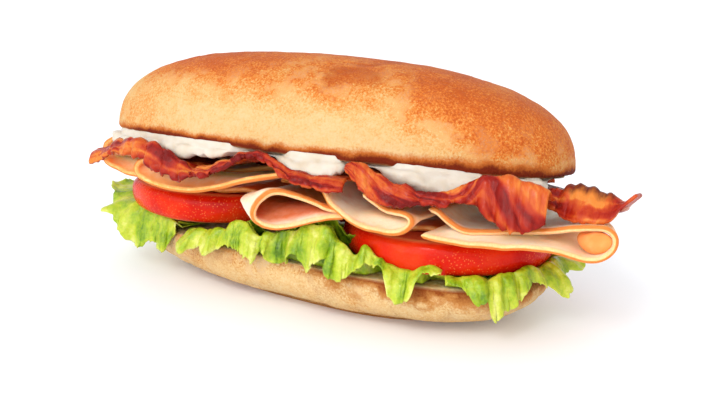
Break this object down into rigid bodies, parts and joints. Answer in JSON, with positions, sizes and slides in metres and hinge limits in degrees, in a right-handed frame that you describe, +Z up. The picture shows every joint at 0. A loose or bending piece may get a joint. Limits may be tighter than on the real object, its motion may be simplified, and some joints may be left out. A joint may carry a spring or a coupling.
{
  "type": "turkey bacon club sandwich",
  "caption": "Turkey bacon club sandwich: long soft toasted roll with folded turkey, wavy bacon, tomato, green leaf lettuce and mayonnaise",
  "frame": {"origin": "middle of the flat spot under the lower bread, on the surface that the sandwich rests on", "axes": "+X along the sandwich to the right as seen from its front, +Y to its back, +Z up; the pictured front with the bacon's lips faces -Y"},
  "size_m": [0.2175, 0.094, 0.0876],
  "materials": {
    "bread_pale": "soft pale roll crust with browned patches",
    "bread_golden": "golden brown baked crust, satin on top and dry at its sides",
    "mayonnaise": "thick creamy sauce with a soft sheen",
    "tomato": "wet tomato skin and flesh",
    "turkey": "moist sliced roast turkey with a browned rim",
    "bacon": "crisp fried bacon with paler fat streaks and a greasy sheen",
    "lettuce": "fresh frilled leaf with a waxy sheen"
  },
  "bodies": {
    "root": {"bread_bottom": "bread_pale", "bread_top": "bread_golden", "mayonnaise": "mayonnaise", "tomato_left": "tomato", "tomato_right": "tomato", "turkey_left": "turkey", "turkey_far_left": "turkey", "turkey_tongue": "turkey", "turkey_loop": "turkey", "turkey_inner": "turkey", "turkey_middle": "turkey", "turkey_right": "turkey", "bacon_left": "bacon", "bacon_middle": "bacon", "bacon_right": "bacon", "bacon_rear_left": "bacon", "bacon_rear_right": "bacon", "lettuce_left": "lettuce", "lettuce_front": "lettuce", "lettuce_right": "lettuce", "lettuce_rear": "lettuce"}
  },
  "joints": []
}
